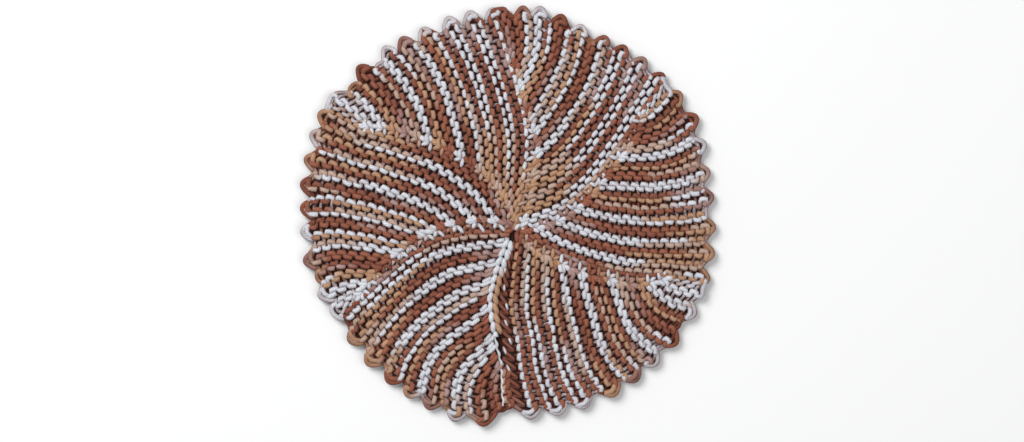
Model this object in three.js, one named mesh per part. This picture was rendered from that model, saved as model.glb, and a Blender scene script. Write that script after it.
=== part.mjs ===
// A round hand-knitted dishcloth in garter stitch, lying flat with its right side up.
// It is one cloth: six panels are worked one after another in short rows. Every ridge of
// a panel starts at the rim and turns one stitch sooner than the ridge before it, so each
// panel is a wedge, and the line where the ridges turn curves in towards the middle. The
// last panel is sewn to the first along a raised join. Millimetres, +Z up, with the origin
// under the middle of the cloth's outline.

import * as THREE from 'three';

const { degToRad, lerp, smoothstep } = THREE.MathUtils;

// Thickness of the knitting, from the underside up
const BODY_THICKNESS = 4.6;
const RIM_THICKNESS = 3.4;
const RIM_TAPER = 9.0; // how far in from the edge the looser, thinner stitches reach
const HUB_RISE = 0.7; // the six panels draw together and stand a little higher
const HUB_RADIUS = 20.0;

// The line where a panel's short rows turn is a shallow furrow
const TURN_DEPTH = 0.8;
const TURN_WIDTH = 3.2;

// The sewn join stands proud beside the first panel's edge and thins out before the rim
const JOIN_RISE = 1.1;
const JOIN_WIDTH = 3.4;
const JOIN_SHIFT = 4.6;
const JOIN_END = 0.78; // fraction of the way out where the raised part stops
const NOTCH_REACH = 92; // the last row stops short of the first one at the rim

// Scallops of the rim, one to every four rows
const SCALLOP_DEPTH = 3.4;
const SCALLOP_FULLNESS = 0.6; // below 1 the tips are blunt and the dips sharp
const TIP_UNEVENNESS = 0.9;
const SPACING_DRIFT = 0.25; // in scallop widths, fading out at the panels' ends
const DRIFT_PACE = 0.6; // scallops drift in runs of a few, wide ones together

// Panels in the order they are worked, anticlockwise. rimDeg is where the panel starts on
// the rim, from +X; leanDeg is how far its first row has swung clockwise at the fractions
// of the radius in LEAN_AT; startReach and middleReach are from the knitted centre to the
// scallop tips where the panel starts and halfway across it.
const LEAN_AT = [1.0, 0.8, 0.6, 0.4, 0.2];
const PANELS = [
  { rimDeg: -90, leanDeg: [0, 5, 13, 22, 31], scallops: 9, startReach: 98, middleReach: 100 },
  { rimDeg: -18, leanDeg: [0, 1, 6, 14, 26], scallops: 8, startReach: 103, middleReach: 101 },
  { rimDeg: 43, leanDeg: [0, 2, 7, 17, 28], scallops: 9, startReach: 111, middleReach: 109 },
  { rimDeg: 95, leanDeg: [0, 4, 10, 18, 20], scallops: 8, startReach: 115, middleReach: 114 },
  { rimDeg: 148, leanDeg: [0, 2, 10, 20, 30], scallops: 8, startReach: 118, middleReach: 111 },
  { rimDeg: 203, leanDeg: [0, 4, 11, 21, 29], scallops: 9, startReach: 105, middleReach: 102 },
];
const LAST_REACH = 104; // of the tips beside the join, where the last panel ends
const FULL_TURN = 360;

// How finely the surface is divided
const SCALLOP_STEPS = 6;
const EDGE_PROFILE = [
  { inset: 1.7, z: 0 },
  { inset: 0.4, z: 0.7 },
  { inset: 0, z: 1.6 },
  { inset: 0.5, z: 2.6 },
  { inset: 1.9, z: RIM_THICKNESS },
];
// Rings across the top and under the cloth: fraction of the radius, and every how many
// rim points the ring has one of its own
const TOP_RINGS = [
  { fraction: 0.95, every: 1 },
  { fraction: 0.87, every: 2 },
  { fraction: 0.77, every: 2 },
  { fraction: 0.67, every: 2 },
  { fraction: 0.57, every: 2 },
  { fraction: 0.47, every: 2 },
  { fraction: 0.37, every: 2 },
  { fraction: 0.26, every: 6 },
  { fraction: 0.15, every: 6 },
  { fraction: 0.06, every: 6 },
];
const UNDER_RINGS = [
  { fraction: 0.85, every: 2 },
  { fraction: 0.5, every: 6 },
];

// The panel that follows, with the round closed after the last one
function nextPanel(index) {
  if (index + 1 < PANELS.length) return PANELS[index + 1];
  return { ...PANELS[0], rimDeg: PANELS[0].rimDeg + FULL_TURN, startReach: LAST_REACH };
}

// Direction of a panel's first row at a fraction of the radius
function rowDirection(panel, fraction) {
  const last = LEAN_AT.length - 1;
  if (fraction <= LEAN_AT[last]) return panel.rimDeg - panel.leanDeg[last];
  let i = 0;
  while (fraction < LEAN_AT[i + 1]) i += 1;
  const t = (LEAN_AT[i] - fraction) / (LEAN_AT[i] - LEAN_AT[i + 1]);
  return panel.rimDeg - lerp(panel.leanDeg[i], panel.leanDeg[i + 1], t);
}

// Reach of the tips across a panel: the parabola through its start, its middle and its end
function tipReach(index, t) {
  const start = PANELS[index].startReach;
  const end = nextPanel(index).startReach;
  const swell = PANELS[index].middleReach - (start + end) / 2;
  return lerp(start, end, t) + 4 * swell * t * (1 - t);
}

// No two scallops are worked alike: a small swing from one to the next
const swing = (count) => Math.sin(2.3 * count + 0.7);

// The rim, anticlockwise, one dip-to-dip scallop after another; the last one only slopes
// in to the notch at the join
function rimPoints() {
  const rim = [];
  let count = 0;
  PANELS.forEach((panel, index) => {
    const span = nextPanel(index).rimDeg - panel.rimDeg;
    for (let k = 0; k < panel.scallops; k += 1, count += 1) {
      const closing = index === PANELS.length - 1 && k === panel.scallops - 1;
      const tip = SCALLOP_DEPTH + TIP_UNEVENNESS * swing(count * 1.7);
      for (let i = 0; i < SCALLOP_STEPS; i += 1) {
        const across = i / SCALLOP_STEPS;
        const even = (k + across) / panel.scallops;
        const drift = swing(DRIFT_PACE * (count + across)) * Math.sin(Math.PI * even);
        const t = even + (SPACING_DRIFT * drift) / panel.scallops;
        const dip = tipReach(index, t) - SCALLOP_DEPTH;
        const swell = Math.sin(Math.PI * across) ** SCALLOP_FULLNESS;
        const radius = closing ? lerp(dip, NOTCH_REACH, across) : dip + tip * swell;
        rim.push({ index, t, deg: panel.rimDeg + span * t, radius, dip });
      }
    }
  });
  return rim;
}

// A point of an inner ring: it keeps its place between the panel's first row and the next's
function ringPoint(rimPoint, fraction) {
  const from = rowDirection(PANELS[rimPoint.index], fraction);
  const to = rowDirection(nextPanel(rimPoint.index), fraction);
  const radius = Math.min(rimPoint.dip, rimPoint.radius) * fraction;
  return { radius, deg: lerp(from, to, rimPoint.t), from, to, index: rimPoint.index };
}

const bump = (distance, width) => Math.exp(-((distance / width) ** 2));

// Height of the right side: the body, thinner at the rim and fuller at the hub, with the
// furrows of the turns and the raised join
function topHeight(point, fraction, edgeRadius) {
  const inFromEdge = edgeRadius - point.radius;
  const fullness = smoothstep(inFromEdge, 0, RIM_TAPER);
  let z = lerp(RIM_THICKNESS, BODY_THICKNESS, fullness);
  z += HUB_RISE * bump(point.radius, HUB_RADIUS);
  const arc = (deg) => degToRad(deg) * point.radius;
  const afterStart = arc(point.deg - point.from);
  const beforeEnd = arc(point.to - point.deg);
  const startsAtJoin = point.index === 0;
  const endsAtJoin = point.index === PANELS.length - 1;
  if (!startsAtJoin) z -= TURN_DEPTH * fullness * bump(afterStart, TURN_WIDTH);
  if (!endsAtJoin) z -= TURN_DEPTH * fullness * bump(beforeEnd, TURN_WIDTH);
  const joinFade = 1 - smoothstep(fraction, JOIN_END - 0.08, JOIN_END + 0.08);
  if (startsAtJoin) z += JOIN_RISE * joinFade * bump(afterStart - JOIN_SHIFT, JOIN_WIDTH);
  if (endsAtJoin) z += JOIN_RISE * joinFade * bump(beforeEnd + JOIN_SHIFT, JOIN_WIDTH);
  return z;
}

// Builds the closed surface: vertices are added ring by ring, each ring joined to the last
function clothGeometry() {
  const rim = rimPoints();
  const positions = [];
  const triangles = [];

  const addVertex = (radius, deg, z) => {
    const angle = degToRad(deg);
    positions.push(radius * Math.cos(angle), radius * Math.sin(angle), z);
    return positions.length / 3 - 1;
  };
  const addTriangle = (a, b, c, upward) => {
    triangles.push(...(upward ? [a, b, c] : [a, c, b]));
  };
  const edgeRing = ({ inset, z }) => rim.map((p) => addVertex(p.radius - inset, p.deg, z));
  const innerRing = ({ fraction, every }, heightOf) => rim
    .filter((_, i) => i % every === 0)
    .map((p) => {
      const point = ringPoint(p, fraction);
      return addVertex(point.radius, point.deg, heightOf(point, fraction, p.radius));
    });
  // Joins a ring to the ring inside it, whose points may be fewer by a whole factor
  const joinRings = (outer, inner, upward) => {
    const ratio = outer.length / inner.length;
    const half = Math.floor(ratio / 2);
    inner.forEach((here, i) => {
      const next = inner[(i + 1) % inner.length];
      const outerAt = (k) => outer[(i * ratio + k) % outer.length];
      for (let k = 0; k < ratio; k += 1) {
        if (k === half) addTriangle(here, outerAt(k), next, upward);
        addTriangle(outerAt(k), outerAt(k + 1), k < half ? here : next, upward);
      }
    });
  };
  const closeMiddle = (ring, z, upward) => {
    const middle = addVertex(0, 0, z);
    ring.forEach((here, i) => addTriangle(here, ring[(i + 1) % ring.length], middle, upward));
  };

  const edges = EDGE_PROFILE.map(edgeRing);
  for (let i = 0; i + 1 < edges.length; i += 1) joinRings(edges[i], edges[i + 1], true);

  const top = [edges[edges.length - 1]];
  TOP_RINGS.forEach((ring) => top.push(innerRing(ring, topHeight)));
  for (let i = 0; i + 1 < top.length; i += 1) joinRings(top[i], top[i + 1], true);
  closeMiddle(top[top.length - 1], BODY_THICKNESS + HUB_RISE, true);

  const under = [edges[0]];
  UNDER_RINGS.forEach((ring) => under.push(innerRing(ring, () => 0)));
  for (let i = 0; i + 1 < under.length; i += 1) joinRings(under[i], under[i + 1], false);
  closeMiddle(under[under.length - 1], 0, false);

  const geometry = new THREE.BufferGeometry();
  geometry.setAttribute('position', new THREE.Float32BufferAttribute(positions, 3));
  geometry.setIndex(triangles);
  geometry.computeBoundingBox();
  const centre = geometry.boundingBox.getCenter(new THREE.Vector3());
  geometry.translate(-centre.x, -centre.y, 0);
  geometry.computeVertexNormals();
  return geometry;
}

const yarn = new THREE.MeshStandardMaterial({ color: 0x9a6a50, roughness: 0.9, metalness: 0 });
const dishcloth = new THREE.Mesh(clothGeometry(), yarn);
dishcloth.name = 'dishcloth';

const part = new THREE.Group();
part.add(dishcloth);

export default part;
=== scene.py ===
# %% [markdown]
# # A round knitted dishcloth, stitch by stitch
#
# The cloth is one length of variegated cotton yarn, knitted in garter stitch. Six panels
# are worked one after another in short rows, each row turning a stitch sooner than the one
# before, so the cloth grows round like a fan and swirls about its middle. The last row is
# sewn to the first. The knitting comes first here; the floor, the light and the camera come
# at the end.
#
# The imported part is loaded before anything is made, because it gives the size to keep to.

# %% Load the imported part
import math
import bpy
import numpy as np
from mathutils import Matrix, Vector


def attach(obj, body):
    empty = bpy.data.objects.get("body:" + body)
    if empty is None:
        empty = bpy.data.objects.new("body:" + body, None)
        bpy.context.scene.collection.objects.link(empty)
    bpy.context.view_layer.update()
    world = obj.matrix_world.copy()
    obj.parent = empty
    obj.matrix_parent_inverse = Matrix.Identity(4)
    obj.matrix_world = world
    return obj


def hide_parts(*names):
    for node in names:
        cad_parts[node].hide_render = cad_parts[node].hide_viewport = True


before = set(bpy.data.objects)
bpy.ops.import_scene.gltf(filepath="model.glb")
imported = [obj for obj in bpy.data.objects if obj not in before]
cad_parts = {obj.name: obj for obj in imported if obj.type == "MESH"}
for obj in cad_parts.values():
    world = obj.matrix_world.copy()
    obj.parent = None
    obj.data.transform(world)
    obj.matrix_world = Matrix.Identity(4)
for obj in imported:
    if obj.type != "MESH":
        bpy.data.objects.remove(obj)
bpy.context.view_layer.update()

# %% [markdown]
# Everything is placed by three numbers that a knitter would use: which panel, how many
# stitches in from the rim (the column), and how many ridges since the panel began. Two rows
# of garter stitch make one ridge.
#
# The table has a row for each panel. rim_deg is the bearing at which its first ridge meets
# the rim, and lean is how many degrees that ridge has swung back from there, at six places
# on the way out from the middle. reach is how far the rim lies from the knitted centre, in
# millimetres, at the start, the half and four fifths of the panel. bow is how many ridges
# the rows sag, and at which ridge they sag most. tips are the places along the rim, in
# ridges, where a scallop stands out: 4.5 is the turn after ridge 4, with its tip half a
# ridge on. dye holds pairs of a ridge and a slip: the slip and the count of stitches since
# the panel began make up the place in the yarn's sequence of colours, and between two listed
# ridges the slip changes evenly.
#
# The numbers in the table were measured in a photograph of the cloth, with scripts that
# fitted curves and matched colours, and were then rounded and corrected by eye.

# %% The panels
MM = 0.001
KNIT_CENTRE = Vector((4.7, -6.5)) * MM
COLUMNS = 20
STITCHES = 19
LEAN_AT = [0.05, 0.2, 0.4, 0.6, 0.8, 1.0]
REACH_AT = [0.0, 0.5, 0.8, 1.0]
PANELS = [
    dict(name="panel_1", ridges=16, rim_deg=-86.2, bow=(0.35, 8),
         lean=[9, 11, 10.1, 4.6, 2.9, 0], reach=[98.5, 100.8, 103],
         tips=[0.1, 2.1, 4, 6.2, 8, 9.8, 11.8, 14.2, 15.5],
         dye=[(0, 12), (2, 7), (6, 4), (11, 10), (15, 11)]),
    dict(name="panel_2", ridges=16, rim_deg=-16.7, bow=(0.55, 9),
         lean=[16.3, 16.3, 11.8, 7.3, 2, 0], reach=[103.2, 103.5, 110.5],
         tips=[0.5, 2.5, 4.5, 6.8, 8.6, 10.7, 12.8, 14.9],
         dye=[(0, 62), (4, 58), (8, 51), (11, 55), (15, 61)]),
    dict(name="panel_3", ridges=16, rim_deg=44.6, bow=(0.9, 11),
         lean=[25.6, 25.6, 15.4, 7.8, 2.8, 0], reach=[110.8, 110, 115.5],
         tips=[0.6, 2.7, 4.7, 6.5, 8.6, 10.4, 12.3, 13.9, 15.7],
         dye=[(0, 41), (1, 45), (3, 41), (9, 40), (15, 43)]),
    dict(name="panel_4", ridges=16, rim_deg=95.1, bow=(-0.1, 8),
         lean=[14, 16.3, 14.7, 8.1, 3.3, 0], reach=[114.5, 115, 117],
         tips=[0.3, 2.2, 4, 6.3, 8.2, 9.8, 12.4, 15.4],
         dye=[(0, 18), (2, 12), (5, 9), (12, 11), (15, 9)]),
    dict(name="panel_5", ridges=17, rim_deg=146.4, bow=(-0.25, 5),
         lean=[25.9, 25.9, 15.2, 6.4, 0.6, 0], reach=[119, 111.3, 110.5],
         tips=[0.95, 2.6, 4.5, 6.4, 8.2, 10, 12.3, 15.3, 16.9],
         dye=[(0, 2), (2, -3), (6, -1), (9, -5), (12, 3), (16, 2)]),
    dict(name="panel_6", ridges=16, rim_deg=205.7, bow=(-0.2, 12),
         lean=[26.4, 26.4, 20.7, 11.4, 4.4, 0], reach=[104.5, 103.3, 104.8],
         tips=[2, 4, 6, 7.7, 9.4, 11.4, 13.6],
         dye=[(0, 54), (2, 59), (5, 60), (6, 46), (9, 51), (15, 52)]),
]
JOIN = dict(name="join", rim_deg=272.0, lean=[22.5, 22.5, 19, 10.2, 4.5, 0], reach=[94, 94, 94])
EDGE_DEPTH = 3.5  # mm from the scallop tips in to the first whole stitch
PANEL_GAP, TURN_GAP = 0.3, 0.1  # ridges of room between two panels, and beyond the inner turns
TURN_BLEND, LEAST_RIDGES = 0.8, 0.75  # how softly the count of ridges starts to fall, and its least
GATHER, GATHER_FADES = 0.03, 0.09  # how far the middle is drawn shut, as fractions of the reach
BOW_RIDGES, BOW_COLUMN, BOW_COLUMNS = 3.5, 5.0, 5.0  # a bow's spread in ridges, its column and spread
SCALLOP, SCALLOP_FADES = 0.75, 1.3  # columns: how deep the scallops are, and how fast they die out
SCALLOP_ENDS = 1.2  # ridges from a tip to where the edge runs level


def next_panel(index):
    """The panel that follows; after the last one comes the join."""
    return PANELS[index + 1] if index + 1 < len(PANELS) else JOIN


def first_row_deg(panel, fraction):
    """Bearing of a panel's first ridge at a fraction of the way out to the rim."""
    return panel["rim_deg"] - np.interp(fraction, LEAN_AT, panel["lean"])


def ridges_across(ridges, column):
    """How many ridges cross a column: all near the rim, one fewer for each stitch turned."""
    most = ridges + PANEL_GAP
    left = COLUMNS + TURN_GAP - column
    blended = most - TURN_BLEND * np.log1p(np.exp((most - left) / TURN_BLEND))
    return np.maximum(blended, LEAST_RIDGES)


def rim_tips(index):
    """The scallop tips of a panel and its two neighbours, in this panel's ridges."""
    before, panel, after = PANELS[index - 1], PANELS[index], PANELS[(index + 1) % len(PANELS)]
    return np.array([tip - before["ridges"] for tip in before["tips"]] + panel["tips"]
                    + [tip + panel["ridges"] for tip in after["tips"]])


def stands_out(index, column, ridge):
    """Columns by which the edge stands out: most at a tip, negative in a notch."""
    away = np.abs(np.asarray(ridge)[..., None] - rim_tips(index)).min(axis=-1)
    wave = 0.5 * np.cos(np.pi * np.minimum(away, SCALLOP_ENDS))
    return SCALLOP * wave * np.exp(-np.maximum(column, 0) / SCALLOP_FADES)


def on_cloth(index, column, ridge):
    """Plan position, in metres, of a place given by panel, column and ridge."""
    panel, after = PANELS[index], next_panel(index)
    fraction = 1 - (column - stands_out(index, column, ridge)) / COLUMNS
    bow, bow_ridge = panel["bow"]
    from_bow = ((ridge - bow_ridge) / BOW_RIDGES) ** 2
    sag = bow * np.exp(-from_bow - ((column - BOW_COLUMN) / BOW_COLUMNS) ** 2)
    share = (ridge + sag) / ridges_across(panel["ridges"], column)
    start = first_row_deg(panel, fraction)
    end = first_row_deg(after, fraction)
    bearing = np.radians(start + (end - start) * share)
    rim = np.interp(share, REACH_AT, [*panel["reach"], after["reach"][0]])
    drawn_shut = GATHER * np.exp(-np.maximum(fraction, 0) / GATHER_FADES)
    reach = (rim - EDGE_DEPTH) * MM * (fraction - drawn_shut)
    return KNIT_CENTRE.x + reach * np.cos(bearing), KNIT_CENTRE.y + reach * np.sin(bearing)


mean_reach = np.mean([panel["reach"] for panel in PANELS])
ridge_count = sum(panel["ridges"] for panel in PANELS)
print(ridge_count, "ridges, each", round(2 * math.pi * mean_reach / ridge_count, 1), "mm wide at the rim")

# %% [markdown]
# The dye runs along the yarn before anyone knits it, so the stripes are not drawn on the
# cloth. The yarn repeats one sequence of colours every 64 stitches, and each stitch takes
# the colour of its place along the yarn. Stripes, patches and flashes then fall where the
# rows put them. Because no hand keeps an even tension, the sequence slips by a few stitches
# here and there, and once by fourteen in panel_6, which is what the dye column holds.

# %% The dyed yarn
DYES = dict(
    beige=(0.49, 0.35, 0.28),
    brown=(0.30, 0.106, 0.063),
    fleck=(0.34, 0.187, 0.155),
    mauve=(0.41, 0.27, 0.25),
    rust=(0.24, 0.081, 0.05),
    tan=(0.46, 0.265, 0.16),
    white=(0.645, 0.655, 0.70),
)
DYE_RUNS = [  # the dye, and for how many stitches it lasts
    ("beige", 8),
    ("brown", 12),
    ("fleck", 2),
    ("mauve", 2),
    ("rust", 8),
    ("tan", 9),
    ("white", 23),
]
DYE_REPEAT = sum(length for _, length in DYE_RUNS)
DYE_BLEND = 0.6  # stitches on each side of a change of colour


def dyed(place):
    """Colour of the yarn at a place along it, in stitches, with short blends between runs."""
    ends = np.cumsum([0] + [length for _, length in DYE_RUNS])
    stops, shades = [], []
    for (name, _), start, end in zip(DYE_RUNS, ends, ends[1:]):
        stops += [start + DYE_BLEND, end - DYE_BLEND]
        shades += [DYES[name], DYES[name]]
    shades = np.array(shades)
    place = np.mod(place, DYE_REPEAT)
    channels = [np.interp(place, stops, shades[:, c], period=DYE_REPEAT) for c in range(3)]
    return np.stack(channels, axis=-1)


def dye_slip(panel, ridge):
    """Stitches to add at this ridge to the count of stitches since the panel began."""
    at, slip = zip(*panel["dye"])
    return float(np.interp(ridge, at, slip))


print("the dye repeats every", DYE_REPEAT, "stitches")

# %% [markdown]
# One row of garter stitch is a wave of loops. In plan the yarn swings almost a whole ridge
# forward and back for every stitch, and leans outwards so that the loops are wider than
# their necks. In height it goes from one face of the cloth to the other. On the row towards
# the middle the heads of the loops lie on top, on the way back the feet between them do, and
# together those two lines of dashes are a ridge. Where the yarn leaves a crest it is held up
# a little before it turns under, so its legs show in the furrow beside the ridge. Formulas
# give the centre line of a row, and only the turns at its two ends are placed one by one.

# %% One row of stitches
STEPS = 12  # points along the yarn for one stitch
LOOP_WIDTH = 0.165  # columns by which a loop leans out past its neck
SLANT = 0.09  # ridges by which a dash leans towards the middle of the cloth
FEET_AT, HEADS_AT = 0.29, 0.71  # where the two lines of dashes lie across a ridge
SWING = 0.48  # half of the way that a loop takes across the ridges
LEG_LIFT, LEG_AT, LEG_SPREAD = 0.75, -0.45, 0.35  # heights, where 1 is a crest and -1 is below


def flat_topped(wave):
    """Keeps the yarn at the crest for longer and makes it cross quickly."""
    return wave * (1.5 - 0.5 * wave ** 2)


def held_up(height):
    """Keeps the legs near the top of the cloth in the furrow, before they turn under."""
    return height + LEG_LIFT * np.exp(-((height - LEG_AT) / LEG_SPREAD) ** 2)


def row_inward(ridge, stitches):
    """Towards the middle: heads on top. Returns column, ridge, height and fullness along the yarn."""
    turn = np.arange(1, stitches * STEPS + 1) / STEPS
    wave = np.cos(2 * np.pi * turn)
    column = turn + LOOP_WIDTH * np.sin(4 * np.pi * turn)
    across = ridge + HEADS_AT - SWING * (1 + flat_topped(wave)) - SLANT * np.sin(2 * np.pi * turn)
    return np.stack([column, across, held_up(-flat_topped(wave)), np.ones(len(turn))], axis=-1)


def row_outward(ridge, stitches):
    """Back to the rim: feet on top, after the long first stitch. Returns the same four."""
    turn = np.arange(STEPS, stitches * STEPS) / STEPS
    wave = np.cos(2 * np.pi * turn)
    column = stitches - turn - LOOP_WIDTH * np.sin(4 * np.pi * turn)
    across = ridge + FEET_AT + SWING * (1 - flat_topped(wave)) - SLANT * np.sin(2 * np.pi * turn)
    return np.stack([column, across, held_up(flat_topped(wave)), np.ones(len(turn))], axis=-1)


print("the first row of a panel has", len(row_inward(0, STITCHES)), "points")

# %% [markdown]
# A row can't just end. At the middle the yarn comes up round the end of the ridge. The
# stitch there waits until the next panel picks it up, so its two legs are drawn out side by
# side, and the yarn then wraps them in one slanted strand before the row goes on. At the rim
# the yarn lies in an open loop round two rows. Every second loop stands out, and those are
# the scallops.
#
# Each turn is a few listed places, with a rounded path through them. A place is four
# numbers: column, ridge, height and fullness. The column is counted inwards from the end of
# the row and the ridge from where this one starts, or in the open loop from the tip of the
# scallop. Height goes from -1 below to 1 on top, and fullness is how thick the yarn is.

# %% The turns at the two ends of a row
LAST_FOOT = [
    (0.25, -0.05, -0.5, 1), (0.1, 0.2, 0.7, 1), (-0.2, 0.28, 1.0, 1), (-0.5, 0.32, 0.6, 1),
]
PICKED_UP = [
    (-0.15, 0.45, -0.7, 0.9), (0.12, 0.45, 0.5, 0.9), (0.32, 0.6, 1.0, 0.85),
    (0.5, 0.78, 0.7, 0.8), (0.52, 0.9, -0.9, 0.75), (-0.3, 1.45, -0.9, 0.75),
    (-0.34, 1.3, 0.7, 0.8), (-0.22, 0.95, 1.1, 0.85), (-0.1, 0.62, 0.4, 0.9),
]
WRAP = [
    (-0.5, 0.92, 0.85, 1.05), (-0.85, 1.12, 1.05, 1.1), (-1.15, 1.25, 0.2, 1),
    (-1.1, 0.95, -0.8, 0.9), (-0.72, 0.45, 0.3, 1),
]
SEWN_DOWN = [(-0.1, 0.6, -0.6, 1), (-0.5, 0.8, 0.2, 1), (-0.8, 0.5, 0.5, 1)]
OPEN_LOOP = [
    (-0.04, -0.5, 0.75, 1.05), (-0.2, -0.25, 0.5, 1.2), (-0.26, 0.12, 0.25, 1.3),
    (-0.18, 0.5, 0.45, 1.2), (0.02, 0.78, 0.3, 1.1),
]
PULLED_LOOP = [
    (-0.05, 0.5, 0.4, 1), (-0.14, 0.85, 0.1, 1.1), (-0.12, 1.2, 0.2, 1.1),
    (-0.02, 1.45, 0.3, 1), (0.06, 1.2, -0.4, 1),
]
TURN_STEPS = 3  # points on the rounded path for each place


def smooth_through(points, steps):
    """Points along a rounded path through the given ones, without the two ends."""
    points = np.array(points, dtype=float)
    walk = []
    for a, b, c, d in zip(points, points[1:], points[2:], points[3:]):
        for t in np.linspace(0, 1, steps, endpoint=False):
            walk.append(0.5 * (2 * b + (c - a) * t + (2 * a - 5 * b + 4 * c - d) * t ** 2
                               + (3 * b - a - 3 * c + d) * t ** 3))
    return np.array(walk)


def between(before, middle, after):
    """A turn through the middle places, from the end of one row to the start of the next."""
    return smooth_through([before[-2], before[-1], *middle, after[0], after[1]], TURN_STEPS)[1:]


def placed_from(column, ridge, offsets):
    """The places of a turn, moved to where a row ends."""
    return [(column + inwards, ridge + across, height, full) for inwards, across, height, full in offsets]


def turn_at_middle(before, after, ridge, stitches, picked_up):
    """From the back of the last stitch up round the end of the ridge and out to the side."""
    offsets = LAST_FOOT + (PICKED_UP + WRAP if picked_up else SEWN_DOWN)
    return between(before, placed_from(stitches, ridge, offsets), after)


def turn_at_rim(before, after, ridge, tips):
    """From the last foot of one ridge to the first head of the next, in an open loop at a scallop."""
    tip_here = [tip for tip in tips if int(tip) == ridge]
    start, offsets = (tip_here[0], OPEN_LOOP) if tip_here else (ridge, PULLED_LOOP)
    return between(before, placed_from(0, start, offsets), after)


print("the rim has", sum(len(panel["tips"]) for panel in PANELS), "scallops")

# %% [markdown]
# A panel is one continuous length of that yarn: in to the middle, turn, out to the rim,
# turn, and so on. Hand knitting is never even, so each stitch is nudged a little and the
# yarn's thickness varies, always by the same seeded draw. The yarn is full on the crests and
# nipped between them, and a little thicker near the rim, where the ridges stand apart.
# Where two panels meet, the hidden loops of the rows on both sides are raised, because
# nothing else fills the gap between them.

# %% The yarn of a panel
YARN_RADIUS = 1.09 * MM
LOOP_HEIGHT = 1.65 * MM
MID_HEIGHT = 2.98 * MM
FLOOR_GAP = 0.05 * MM
LOOSE, LOOSE_COLUMNS = [1.09, 1.0], [0, 9]  # how much thicker the yarn is, and at which columns
SWELL, SQUEEZE = 0.16, 0.2  # shares of the radius, on the crests and between them
NUDGES = [(0, 0.05), (1, 0.04), (2, 0.1)]  # column, ridge and height, each with its spread
UNEVEN = 0.05  # spread of the yarn's own thickness
EDGE_RISE = 1.7  # how far a hidden loop rises at a panel's edge, as a multiple of its depth
RIM_TURN, MIDDLE_TURN = 0.4, 1  # stitches' worth of dye that a turn takes up


def showing_between(row):
    """A row at the edge of a panel: its hidden loops come up between the two panels."""
    row[:, 2] -= EDGE_RISE * np.minimum(row[:, 2], 0)
    return row


def panel_yarn(index, draw):
    """Centre line of a panel's yarn in metres, its radius, and its place along the dye."""
    panel = PANELS[index]
    rows, places = [], []
    place = 0
    for ridge in range(panel["ridges"]):
        stitches = STITCHES - ridge
        slip = dye_slip(panel, ridge)
        inward = row_inward(ridge, stitches)
        outward = row_outward(ridge, stitches)
        if ridge == 0 and index > 0:
            inward = showing_between(inward)
        if ridge == panel["ridges"] - 1 and index + 1 < len(PANELS):
            outward = showing_between(outward)
        if rows:
            turning = turn_at_rim(rows[-1], inward, ridge - 1, panel["tips"])
            rows.append(turning)
            places.append(np.linspace(places[-1][-1], place + slip + RIM_TURN, len(turning)))
        rows.append(inward)
        places.append(place + slip + inward[:, 0])
        place += stitches
        turning = turn_at_middle(inward, outward, ridge, stitches, index + 1 < len(PANELS))
        rows.append(turning)
        places.append(np.linspace(place + slip, place + slip + MIDDLE_TURN, len(turning)))
        rows.append(outward)
        places.append(place + slip + stitches - outward[:, 0])
        place += stitches
    path = np.concatenate(rows)
    along = np.concatenate(places)
    knots = np.arange(0, len(path), STEPS)
    for axis, spread in NUDGES:
        path[:, axis] += np.interp(np.arange(len(path)), knots, draw.normal(0, spread, len(knots)))
    x, y = on_cloth(index, path[:, 0], path[:, 1])
    z = MID_HEIGHT + LOOP_HEIGHT * path[:, 2]
    full = (SWELL + SQUEEZE) * np.minimum(path[:, 2] ** 2, 1) - SQUEEZE
    uneven = np.interp(np.arange(len(path)), knots, draw.normal(0, UNEVEN, len(knots)))
    loose = np.interp(path[:, 0], LOOSE_COLUMNS, LOOSE)
    radius = YARN_RADIUS * loose * path[:, 3] * (1 + full + uneven)
    return np.stack([x, y, np.maximum(z, radius + FLOOR_GAP)], axis=-1), radius, along


stitches_in_all = sum(2 * (STITCHES - ridge) for panel in PANELS for ridge in range(panel["ridges"]))
print("the cloth has", stitches_in_all, "stitches")

# %% [markdown]
# At the rim one loop carries the yarn on into the next panel. On the under side a line of
# slanted stitches, the backs of the picked-up ones, covers the place where two panels meet,
# and a strand of its own makes it.

# %% Where two panels meet
LINK_HEIGHT, LINK_RADIUS = 0.6, 1.2 * YARN_RADIUS
LINK_TURN = 1  # stitches' worth of dye that the loop takes up
LINK_BEFORE = [(-0.2, -0.45)]  # column and ridge, counted from the end of the panel
LINK_AFTER = [(-0.3, -0.1), (-0.15, 0.45)]  # the same, from the start of the next panel
UNDER_FIRST, UNDER_LAST = 0.2, 18.5  # columns where the line below starts and ends
UNDER_ACROSS = -0.1  # ridges from the start of the panel to the middle of that line
UNDER_COLUMNS, UNDER_HALF = [0, 5, 18], [0.5, 0.3, 0.3]  # half its width, in ridges
UNDER_LEAN, UNDER_RADIUS = 0.2, 0.9 * YARN_RADIUS
UNDER_DEPTH, UNDER_DIP = 0.7, 0.3  # how deep it lies, and how far it swings about that


def reach_next_panel(index, last, first):
    """The loop at the rim that carries the yarn from one panel into the next."""
    ridges = PANELS[index]["ridges"]
    height = MID_HEIGHT + LINK_HEIGHT * LOOP_HEIGHT
    stops = [(index, column, ridges + ridge) for column, ridge in LINK_BEFORE]
    stops += [(index + 1, column, ridge) for column, ridge in LINK_AFTER]
    middle = []
    for panel, column, ridge in stops:
        x, y = on_cloth(panel, np.array(column), np.array(ridge))
        middle.append((float(x), float(y), height))
    return between(last, middle, first)


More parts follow.
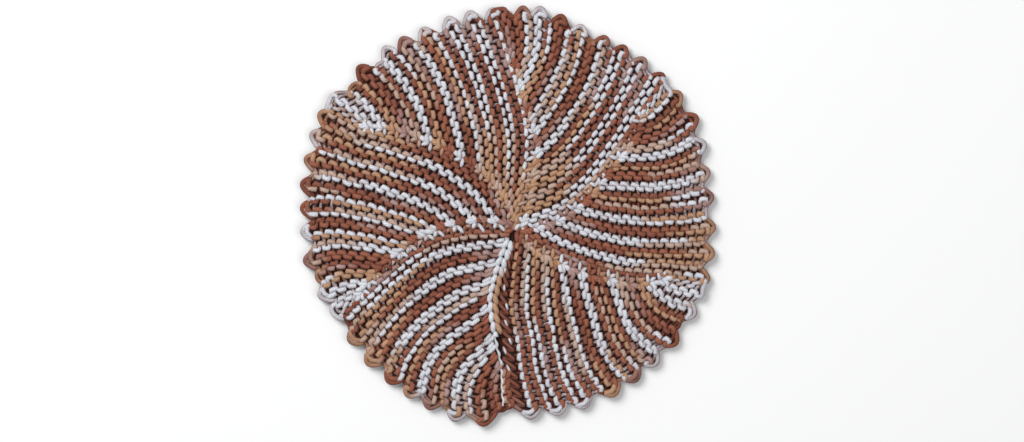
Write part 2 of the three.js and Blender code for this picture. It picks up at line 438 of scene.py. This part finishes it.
def seen_from_below(index):
    """What shows on the under side where a panel meets the one before: a row of slanted feet."""
    turn = np.arange(UNDER_FIRST, UNDER_LAST, 1 / STEPS)
    wave = np.cos(2 * np.pi * turn)
    half = np.interp(turn, UNDER_COLUMNS, UNDER_HALF)
    x, y = on_cloth(index, turn - UNDER_LEAN * wave, UNDER_ACROSS + half * wave)
    z = MID_HEIGHT - LOOP_HEIGHT * (UNDER_DEPTH + UNDER_DIP * np.sin(2 * np.pi * turn))
    radius = np.full(len(turn), UNDER_RADIUS)
    return np.stack([x, y, z], axis=-1), radius, dye_slip(PANELS[index], 0) + turn


print("panels that meet the one before:", [panel["name"] for panel in PANELS[1:]])

# %% [markdown]
# Blender could sweep a curve with a bevel, but the export wants plain meshes with a colour
# on every vertex, and 2,200 stitches in six joined meshes are quickest to make directly. A
# ring of six points follows the centre line. The ring's sides are worked out from the
# level direction of the yarn, so it never flips where the yarn dives through the cloth.

# %% A tube along a centre line
SIDES = 6
LEAST_LEVEL = 1e-6  # keeps the division safe where the yarn goes straight up


def tube(path, radius, along):
    """Vertices, faces, UVs and colours of one closed length of yarn."""
    ahead = np.gradient(path, axis=0)
    ahead /= np.linalg.norm(ahead, axis=1, keepdims=True)
    level = np.stack([-ahead[:, 1], ahead[:, 0], np.zeros(len(path))], axis=-1)
    level /= np.maximum(np.linalg.norm(level, axis=1, keepdims=True), LEAST_LEVEL)
    up = np.cross(ahead, level)
    angles = 2 * np.pi * np.arange(SIDES) / SIDES
    ring = (np.cos(angles)[None, :, None] * level[:, None, :]
            + np.sin(angles)[None, :, None] * up[:, None, :])
    verts = (path[:, None, :] + radius[:, None, None] * ring).reshape(-1, 3)
    count = len(path)
    row = np.arange(count - 1)[:, None] * SIDES
    side = np.arange(SIDES)[None, :]
    beside = (side + 1) % SIDES
    quads = np.stack([row + side, row + beside, row + SIDES + beside, row + SIDES + side], axis=-1)
    faces = quads.reshape(-1, 4).tolist()
    faces.append(list(range(SIDES))[::-1])
    faces.append(list(range((count - 1) * SIDES, count * SIDES)))
    length = np.r_[0, np.cumsum(np.linalg.norm(np.diff(path, axis=0), axis=1))] / MM
    around = np.stack([side, side + 1, side + 1, side], axis=-1) / SIDES + np.zeros((count - 1, 1, 1))
    start, end = length[:-1, None], length[1:, None]
    lengthwise = np.stack([start, start, end, end], axis=-1) + np.zeros((1, SIDES, 1))
    uv = np.stack([around, lengthwise], axis=-1).reshape(-1, 2)
    uv = np.concatenate([uv, np.zeros((2 * SIDES, 2))])
    return verts, faces, uv, np.repeat(dyed(along), SIDES, axis=0)


def yarn_piece(name, yarns):
    """One mesh from one or more lengths of yarn, with a UV map and a colour for each vertex."""
    verts, faces, uvs, colours = [], [], [], []
    placed = 0
    for yarn in yarns:
        more_verts, more_faces, uv, colour = tube(*yarn)
        faces += [[corner + placed for corner in face] for face in more_faces]
        placed += len(more_verts)
        verts.append(more_verts)
        uvs.append(uv)
        colours.append(colour)
    mesh = bpy.data.meshes.new(name)
    mesh.from_pydata(np.concatenate(verts).tolist(), [], faces)
    mesh.uv_layers.new(name="yarn").data.foreach_set("uv", np.concatenate(uvs).ravel())
    opaque = np.ones((placed, 1))
    rgba = np.hstack([np.concatenate(colours), opaque])
    mesh.color_attributes.new("dye", "FLOAT_COLOR", "POINT").data.foreach_set("color", rgba.ravel())
    mesh.polygons.foreach_set("use_smooth", np.ones(len(mesh.polygons), dtype=bool))
    mesh.update()
    piece = bpy.data.objects.new(name, mesh)
    bpy.context.collection.objects.link(piece)
    print(name, len(faces), "faces")
    return piece


print("the yarn is a tube of", SIDES, "sides,", round(2 * YARN_RADIUS / MM, 2), "mm thick")

# %% [markdown]
# Now the panels are knitted in order, from one seeded draw, so the cloth is the same each
# time. Each panel but the last is lengthened by the loop that leads into the next one, and
# each but the first gets the line of stitches on its under side.

# %% Knit the six panels
SEED = 20
draw = np.random.default_rng(SEED)
lengths = [list(panel_yarn(index, draw)) for index in range(len(PANELS))]
for index in range(len(PANELS) - 1):
    path, radius, along = lengths[index]
    link = reach_next_panel(index, path, lengths[index + 1][0])
    link_radius = np.full(len(link), LINK_RADIUS)
    link_along = np.linspace(along[-1], along[-1] + LINK_TURN, len(link))
    lengths[index] = [np.concatenate([path, link]), np.append(radius, link_radius),
                      np.append(along, link_along)]
knitted = [yarn_piece(PANELS[0]["name"], [lengths[0]])]
for index in range(1, len(PANELS)):
    knitted.append(yarn_piece(PANELS[index]["name"], [lengths[index], seen_from_below(index)]))

# %% [markdown]
# The last row is sewn to the first. On the real cloth this shows as a low welt of slanted
# stitches with a thicker white and tan chain beside it, which fades into one thin strand
# near the rim. It lies on a line of its own, so its places are given as the column and the
# distance from that line in ridges. The welt is made on both faces; the chain, the thin
# strand and the bits of white between the stitches are on the upper one only.
#
# The welt's table gives, at some columns, how far from the line its two sides lie. far is
# the side away from the chain, and near_below is the near side of the welt underneath.

# %% The join
WELT = dict(
    column=[0, 3, 5, 8, 10, 12, 14, 16, 18.5],
    near=[-0.45, -0.35, -0.2, 0.3, 0.3, 0.3, 0.3, 0.25, 0.1],
    far=[0.25, 0.45, 0.65, 1.05, 1.1, 1.0, 0.8, 0.6, 0.4],
    near_below=[-0.6, -0.7, -0.8, -0.7, -0.7, -0.6, -0.5, -0.4, -0.2],
)
WELT_FIRST, WELT_LAST, WELT_LEAN = 0.2, 18.4, 0.3  # columns: its two ends, and a stitch's lean
WELT_HEIGHT, WELT_WAVE, WELT_RADIUS = 0.6, 0.4, 0.85 * YARN_RADIUS
WELT_DYE, WELT_DYE_STEP = 24, 0.3  # place along the dye at the rim, and stitches on for each column
CHAIN = [
    dict(first=8, last=18.8, across=-0.4, slant=0.06, dye_from=44, dye_to=60),
    dict(first=8.5, last=18.5, across=0.06, slant=-0.08, dye_from=33.5, dye_to=45),
]
CHAIN_RADIUS, CHAIN_SWELL = 1.3 * MM, 0.15
CHAIN_HEIGHT, CHAIN_WAVE, CHAIN_LEAN = 1.2, 0.3, 0.1
THIN_RADIUS, THIN_SWELL = 0.65 * MM, 0.2
THIN_FIRST, THIN_LAST = 0.6, 8.2
THIN_COLUMNS, THIN_ACROSS = [0, 2, 5.4, 8], [-1.3, -1.0, -0.4, -0.45]
THIN_SWAY, THIN_HEIGHT, THIN_WAVE = 0.05, 1.3, 0.1
PEEPS = [  # the column and the distance from the line of each bit of white
    (4.7, 0.1), (6.6, 0.2), (7.8, 0.8), (9.7, 0.8),
    (11.5, 1.0), (13.4, 0.6), (15.4, 0.3), (17.3, 0.2),
]
PEEP_POINTS, PEEP_LENGTH, PEEP_SLANT, PEEP_HEIGHT = 7, 0.9, 0.15, 1.5
WHITE_AT = 50.0  # a place along the dye where the yarn is white


def on_join(column, across):
    """Plan position, in metres, of a place beside the line where the join lies."""
    fraction = 1 - column / COLUMNS
    start = first_row_deg(JOIN, fraction)
    end = first_row_deg(PANELS[1], fraction) + 360
    bearing = np.radians(start + (end - start) * across / ridges_across(PANELS[0]["ridges"], column))
    reach = (PANELS[0]["reach"][0] - EDGE_DEPTH) * MM * fraction
    return KNIT_CENTRE.x + reach * np.cos(bearing), KNIT_CENTRE.y + reach * np.sin(bearing)


def join_yarn(column, across, height, radius, along):
    """A length of yarn that lies along the join."""
    x, y = on_join(column, across)
    everywhere = np.ones(len(column))
    z = MID_HEIGHT + LOOP_HEIGHT * height * everywhere
    return np.stack([x, y, z], axis=-1), radius * everywhere, along


def welt(near, face):
    """Slanted stitches that fill the gap beside the join, on the upper face (1) or the lower (-1)."""
    turn = np.arange(WELT_FIRST, WELT_LAST, 1 / STEPS)
    wave = np.cos(2 * np.pi * turn)
    start = np.interp(turn, WELT["column"], near)
    end = np.interp(turn, WELT["column"], WELT["far"])
    middle = (start + end) / 2
    half = (end - start) / 2
    height = face * (WELT_HEIGHT + WELT_WAVE * np.sin(2 * np.pi * turn))
    along = WELT_DYE + WELT_DYE_STEP * turn
    return join_yarn(turn - WELT_LEAN * wave, middle + half * wave, height, WELT_RADIUS, along)


def chain_strand(first, last, across, slant, dye_from, dye_to):
    """One strand of the chain: a slanted dash in each column, tucked under between them."""
    turn = np.arange(first, last, 1 / STEPS)
    wave = np.sin(2 * np.pi * turn)
    height = CHAIN_HEIGHT + CHAIN_WAVE * np.cos(2 * np.pi * turn)
    along = np.linspace(dye_from, dye_to, len(turn))
    radius = CHAIN_RADIUS * (1 + CHAIN_SWELL * np.cos(2 * np.pi * turn))
    return join_yarn(turn + CHAIN_LEAN * wave, across + slant * wave, height, radius, along)


def thin_strand():
    """The strand that goes on to the rim, coming up between the welt's stitches."""
    turn = np.arange(THIN_FIRST, THIN_LAST, 1 / STEPS)
    wave = np.sin(2 * np.pi * turn)
    across = np.interp(turn, THIN_COLUMNS, THIN_ACROSS) + THIN_SWAY * wave
    radius = THIN_RADIUS * (1 + THIN_SWELL * wave)
    return join_yarn(turn, across, THIN_HEIGHT + THIN_WAVE * wave, radius, np.full(len(turn), WHITE_AT))


def peep(column, across):
    """A bit of white yarn that shows between the welt's stitches."""
    turn = np.linspace(-0.5, 0.5, PEEP_POINTS)
    height = PEEP_HEIGHT * np.cos(np.pi * turn)
    columns, places = column + PEEP_LENGTH * turn, across - PEEP_SLANT * turn
    return join_yarn(columns, places, height, THIN_RADIUS, np.full(len(turn), WHITE_AT))


join = yarn_piece("join", [
    welt(WELT["near"], 1),
    welt(WELT["near_below"], -1),
    *[chain_strand(**strand) for strand in CHAIN],
    thin_strand(),
    *[peep(column, across) for column, across in PEEPS],
])

# %% [markdown]
# Between the stitches there is more yarn, the loops of the far side. A thin sheet at mid
# height stands for it, near black with painted shade: it closes the small gaps, has the
# cloth's outline, and carries the cloth's flat size.

# %% The inside of the fabric
SHEET_THICK = 1.0 * MM
SHEET_EDGE = 0.0  # columns in from the rim
EDGE_STEP = 0.25  # ridges from one point of the edge to the next
RINGS = [1.0, 0.66, 0.33]


def fabric_outline():
    """The cloth's edge, with four points for every ridge, standing out at the scallops."""
    rim = []
    for index, panel in enumerate(PANELS):
        ridge = np.arange(0, panel["ridges"], EDGE_STEP)
        rim += zip(*on_cloth(index, SHEET_EDGE, ridge))
    return rim


def fabric_sheet():
    """A closed sheet with that edge, at mid height."""
    rim = fabric_outline()
    middle_x, middle_y = KNIT_CENTRE
    low, high = MID_HEIGHT - SHEET_THICK / 2, MID_HEIGHT + SHEET_THICK / 2
    verts, faces = [], []
    count = len(rim)
    for z in (low, high):
        for ring in RINGS:
            for x, y in rim:
                verts.append((middle_x + (x - middle_x) * ring, middle_y + (y - middle_y) * ring, z))
        verts.append((middle_x, middle_y, z))
    layer = count * len(RINGS) + 1
    for i in range(count):
        j = (i + 1) % count
        for k in range(len(RINGS) - 1):
            a, b = k * count, (k + 1) * count
            faces.append((b + i, b + j, a + j, a + i))
            faces.append((layer + a + i, layer + a + j, layer + b + j, layer + b + i))
        last = (len(RINGS) - 1) * count
        faces.append((last + j, last + i, layer - 1))
        faces.append((layer + last + i, layer + last + j, 2 * layer - 1))
        faces.append((i, j, layer + j, layer + i))
    mesh = bpy.data.meshes.new("fabric")
    mesh.from_pydata(verts, [], faces)
    mesh.update()
    piece = bpy.data.objects.new("fabric", mesh)
    bpy.context.collection.objects.link(piece)
    print("fabric", len(faces), "faces")
    return piece


fabric = fabric_sheet()

# %% [markdown]
# Both cotton materials are built from the same few nodes, so each kind of node that comes up
# more than once gets a helper: arithmetic, a value moved to another range, a colour made
# lighter or darker, and a bump.

# %% Helpers for the materials
def add(tree, kind, **sockets):
    """A new node with some of its sockets set."""
    made = tree.nodes.new(kind)
    for key, value in sockets.items():
        made.inputs[key.replace("_", " ")].default_value = value
    return made


def sums(tree, operation, first, second):
    """A Math node on two values, each a socket or a number."""
    made = tree.nodes.new("ShaderNodeMath")
    made.operation = operation
    for socket, value in zip(made.inputs, (first, second)):
        if isinstance(value, (int, float)):
            socket.default_value = value
        else:
            tree.links.new(value, socket)
    return made.outputs["Value"]


def scaled_to(tree, value, low, high):
    """A value from 0 to 1 mapped to another range."""
    made = add(tree, "ShaderNodeMapRange", To_Min=low, To_Max=high)
    tree.links.new(value, made.inputs["Value"])
    return made.outputs["Result"]


def tinted(tree, colour, strength):
    """A colour made lighter or darker by a factor."""
    made = tree.nodes.new("ShaderNodeVectorMath")
    made.operation = "SCALE"
    tree.links.new(colour, made.inputs[0])
    tree.links.new(strength, made.inputs["Scale"])
    return made.outputs["Vector"]


def bumped(tree, height, distance, under=None):
    """A normal bumped by a height, on top of another normal if there is one."""
    made = add(tree, "ShaderNodeBump", Strength=1.0, Distance=distance)
    tree.links.new(height, made.inputs["Height"])
    if under is not None:
        tree.links.new(under, made.inputs["Normal"])
    return made.outputs["Normal"]


COTTON = {"Roughness": 0.9, "Specular IOR Level": 0.2, "Sheen Weight": 0.08, "Sheen Roughness": 0.5}


def matt(material):
    """The shader of dry cotton."""
    material.use_nodes = True
    shader = material.node_tree.nodes["Principled BSDF"]
    for socket, value in COTTON.items():
        shader.inputs[socket].default_value = value
    return shader


print("dry cotton has", COTTON)

# %% [markdown]
# Cotton is matt with a faint bloom of loose fibres. Four plies are twisted round each other,
# so the UV map, whose first number goes round the yarn and whose second is its length in
# millimetres, drives slanted grooves. The grooves are bumped deeper and get painted shade,
# and the crowns of the plies a little painted light. A fine grain breaks up the surface, and
# a coarser one the dye, which never takes evenly.
#
# The colour goes by height, as painted shade: full near the two faces of the cloth, and
# darkened to a warm painted shade towards the middle, where the stitches would shade the yarn.

# %% Cotton yarn
PLIES = 4
TWIST_TURNS_PER_MM = 0.14
PLY_DEPTH = 0.08 * MM
PLY_SHADE = (0.8, 1.04)  # painted shade in the grooves, and a little painted light on the plies
FIBRE_SCALE, FIBRE_DETAIL, FIBRE_DEPTH = 1500.0, 3.0, 0.05 * MM
FIBRE_SHADE = (0.85, 1.15)
PATCH_SCALE, PATCH_DETAIL = 160.0, 2.0
PATCH_SHADE = (0.75, 1.25)
DEEP, SHALLOW = 0.4 * MM, 2.8 * MM  # distances from mid height
# painted shade: how dark the yarn is made at mid height, and partway out towards full colour
DEEP_SHADE = (0.18, 0.07, 0.055, 1)
HALF_SHADE = (0.62, 0.51, 0.49, 1)
HALF_SHADE_AT = 0.25


def painted_shade_by_height(tree, place, colour):
    """The colour full near the two faces of the cloth, with warm painted shade between them."""
    split = tree.nodes.new("ShaderNodeSeparateXYZ")
    tree.links.new(place, split.inputs["Vector"])
    off_middle = sums(tree, "ABSOLUTE", sums(tree, "SUBTRACT", split.outputs["Z"], MID_HEIGHT), 0.0)
    depth = add(tree, "ShaderNodeMapRange", From_Min=DEEP, From_Max=SHALLOW)
    tree.links.new(off_middle, depth.inputs["Value"])
    shade = tree.nodes.new("ShaderNodeValToRGB")
    shade.color_ramp.elements[0].color = DEEP_SHADE
    shade.color_ramp.elements.new(HALF_SHADE_AT).color = HALF_SHADE
    tree.links.new(depth.outputs["Result"], shade.inputs["Fac"])
    made = tree.nodes.new("ShaderNodeVectorMath")
    made.operation = "MULTIPLY"
    tree.links.new(colour, made.inputs[0])
    tree.links.new(shade.outputs["Color"], made.inputs[1])
    return made.outputs["Vector"]


def yarn_material():
    """Dyed, plied cotton."""
    material = bpy.data.materials.new("cotton_yarn")
    shader = matt(material)
    tree = material.node_tree
    place = tree.nodes.new("ShaderNodeTexCoord")
    split = tree.nodes.new("ShaderNodeSeparateXYZ")
    tree.links.new(place.outputs["UV"], split.inputs["Vector"])
    turned = sums(tree, "MULTIPLY", split.outputs["Y"], TWIST_TURNS_PER_MM)
    turns = sums(tree, "ADD", turned, split.outputs["X"])
    angle = sums(tree, "MULTIPLY", turns, PLIES * math.pi)
    ply = sums(tree, "ABSOLUTE", sums(tree, "SINE", angle, 0.0), 0.0)
    fibre = add(tree, "ShaderNodeTexNoise", Scale=FIBRE_SCALE, Detail=FIBRE_DETAIL)
    tree.links.new(place.outputs["Object"], fibre.inputs["Vector"])
    patch = add(tree, "ShaderNodeTexNoise", Scale=PATCH_SCALE, Detail=PATCH_DETAIL)
    tree.links.new(place.outputs["Object"], patch.inputs["Vector"])
    dye = tree.nodes.new("ShaderNodeAttribute")
    dye.attribute_name = "dye"
    colour = tinted(tree, dye.outputs["Color"], scaled_to(tree, ply, *PLY_SHADE))
    colour = tinted(tree, colour, scaled_to(tree, fibre.outputs["Fac"], *FIBRE_SHADE))
    colour = tinted(tree, colour, scaled_to(tree, patch.outputs["Fac"], *PATCH_SHADE))
    colour = painted_shade_by_height(tree, place.outputs["Object"], colour)
    tree.links.new(colour, shader.inputs["Base Color"])
    plied = bumped(tree, ply, PLY_DEPTH)
    tree.links.new(bumped(tree, fibre.outputs["Fac"], FIBRE_DEPTH, plied), shader.inputs["Normal"])
    return material


cotton = yarn_material()
for piece in [*knitted, join]:
    piece.data.materials.append(cotton)
print(cotton.name, "goes on", len(knitted) + 1, "pieces")

# %% [markdown]
# What shows through the gaps is the same cotton, coloured near black as painted shade. A
# pattern of cells about half a stitch wide mottles it, so that it doesn't read as a flat plate.

# %% The yarn inside, in painted shade
LOOPS_PER_METRE, LOOP_BUMP = 380.0, 0.4 * MM
SHADED_LOOP_COLOURS = [(0.045, 0.012, 0.008, 1), (0.012, 0.004, 0.003, 1)]  # painted shade, near black, from the middle of a cell outwards


def inside_material():
    """The far side's cotton, near black with painted shade, mottled as its loops are."""
    material = bpy.data.materials.new("inside_yarn_in_painted_shade")
    shader = matt(material)
    tree = material.node_tree
    place = tree.nodes.new("ShaderNodeTexCoord")
    loops = add(tree, "ShaderNodeTexVoronoi", Scale=LOOPS_PER_METRE)
    tree.links.new(place.outputs["Object"], loops.inputs["Vector"])
    shade = tree.nodes.new("ShaderNodeValToRGB")
    for element, colour in zip(shade.color_ramp.elements, SHADED_LOOP_COLOURS):
        element.color = colour
    tree.links.new(loops.outputs["Distance"], shade.inputs["Fac"])
    tree.links.new(shade.outputs["Color"], shader.inputs["Base Color"])
    tree.links.new(bumped(tree, loops.outputs["Distance"], LOOP_BUMP), shader.inputs["Normal"])
    return material


inside = inside_material()
fabric.data.materials.append(inside)
print(inside.name, "goes on the sheet")

# %% [markdown]
# The cloth has no joints, so every piece rides on its one body. Together the pieces stand
# for the one solid of the imported part, in the same cotton.

# %% Attach the pieces and hide the imported part
for piece in [fabric, *knitted, join]:
    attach(piece, "root")
    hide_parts("dishcloth")

# %% [markdown]
# The cloth lies on a plain pale floor, which is a plane far wider than the cloth.

# %% Floor
FLOOR_SIZE, PALE, FLOOR_ROUGHNESS = 6, (0.9, 0.9, 0.9, 1), 0.9
bpy.ops.object.select_all(action="DESELECT")
bpy.ops.mesh.primitive_plane_add(size=FLOOR_SIZE, location=(0, 0, 0))
floor = bpy.context.object
floor.name = "floor"
paper = bpy.data.materials.new("paper")
paper.use_nodes = True
paper.node_tree.nodes["Principled BSDF"].inputs["Base Color"].default_value = PALE
paper.node_tree.nodes["Principled BSDF"].inputs["Roughness"].default_value = FLOOR_ROUGHNESS
floor.data.materials.append(paper)
print("the floor is", FLOOR_SIZE, "m wide")

# %% [markdown]
# The light is soft and even, with a little more from the upper left: a pale sky all round, a
# large lamp there and a weak one on the other side. That gives each stitch a light and a
# dark flank, without hard shadows.

# %% Light
SKY, SKY_STRENGTH = (0.97, 0.98, 1.0, 1), 0.38
LAMPS = [  # places and sizes in metres, power in watts
    dict(name="window", place=(-0.9, 0.9, 1.4), size=1.0, power=30),
    dict(name="fill", place=(0.9, -0.4, 1.4), size=1.2, power=7),
]
bpy.context.scene.view_settings.view_transform = "Standard"
world = bpy.data.worlds.new("studio")
world.use_nodes = True
world.node_tree.nodes["Background"].inputs["Color"].default_value = SKY
world.node_tree.nodes["Background"].inputs["Strength"].default_value = SKY_STRENGTH
bpy.context.scene.world = world


def soft_light(name, place, size, power):
    """A square lamp that looks at the cloth."""
    data = bpy.data.lights.new(name, "AREA")
    data.size = size
    data.energy = power
    light = bpy.data.objects.new(name, data)
    light.location = place
    light.rotation_euler = (-Vector(place)).to_track_quat("-Z", "Y").to_euler()
    bpy.context.collection.objects.link(light)


for lamp in LAMPS:
    soft_light(**lamp)
print("lamps:", [lamp["name"] for lamp in LAMPS])

# %% [markdown]
# The camera looks straight down through a long lens, so the cloth is drawn almost without
# perspective. A pixel of the image is 0.52 mm on the floor, and the width of the image and
# the lens then give the height of the camera.

# %% Camera
IMAGE_WIDTH_PX, MM_PER_PX = 1024, 0.52
FRAME_WIDTH = IMAGE_WIDTH_PX * MM_PER_PX * MM
LENS, SENSOR = 200.0, 36.0  # mm
VIEW_X, VIEW_Y = 2.6 * MM, -2.34 * MM
FARTHEST = 20  # metres that the camera sees
camera = bpy.data.objects.new("camera", bpy.data.cameras.new("camera"))
camera.data.lens, camera.data.sensor_width = LENS, SENSOR
camera.location = (VIEW_X, VIEW_Y, FRAME_WIDTH * LENS / SENSOR)
camera.data.clip_end = FARTHEST
bpy.context.collection.objects.link(camera)
bpy.context.scene.camera = camera
print("the camera is", round(camera.location.z, 2), "m up")
